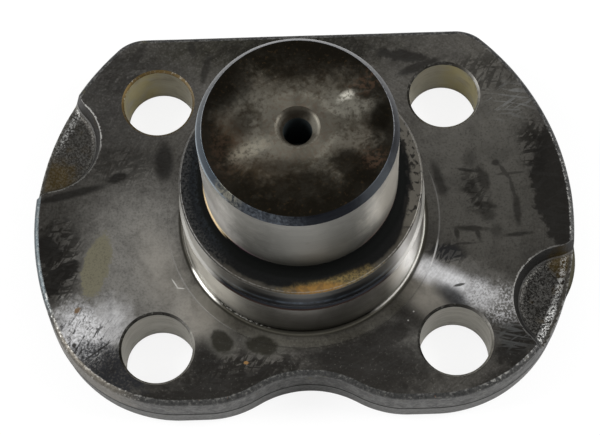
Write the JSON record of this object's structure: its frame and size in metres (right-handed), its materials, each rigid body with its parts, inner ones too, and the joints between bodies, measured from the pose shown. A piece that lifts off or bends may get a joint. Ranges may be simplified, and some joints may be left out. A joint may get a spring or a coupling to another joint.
{
  "type": "king pin",
  "caption": "Forged king pin: a ground, chamfered pin on a stepped register boss, rising from a bolted, notched flange with half-moon edge recesses.",
  "frame": {"origin": "on the pin's axis, in the plane of the flange's back face", "axes": "+Z along the pin to its free end, +Y to the flange's straight rear edge, -Y to the notch between its lobes, +X to the right when seen from the pin's end with the notch towards the viewer"},
  "size_m": [0.1321, 0.0967, 0.0695],
  "materials": {
    "steel": "forged and machined steel, dark with old oil, worn bright at its edges"
  },
  "bodies": {
    "root": {"king_pin": "steel"}
  },
  "joints": []
}
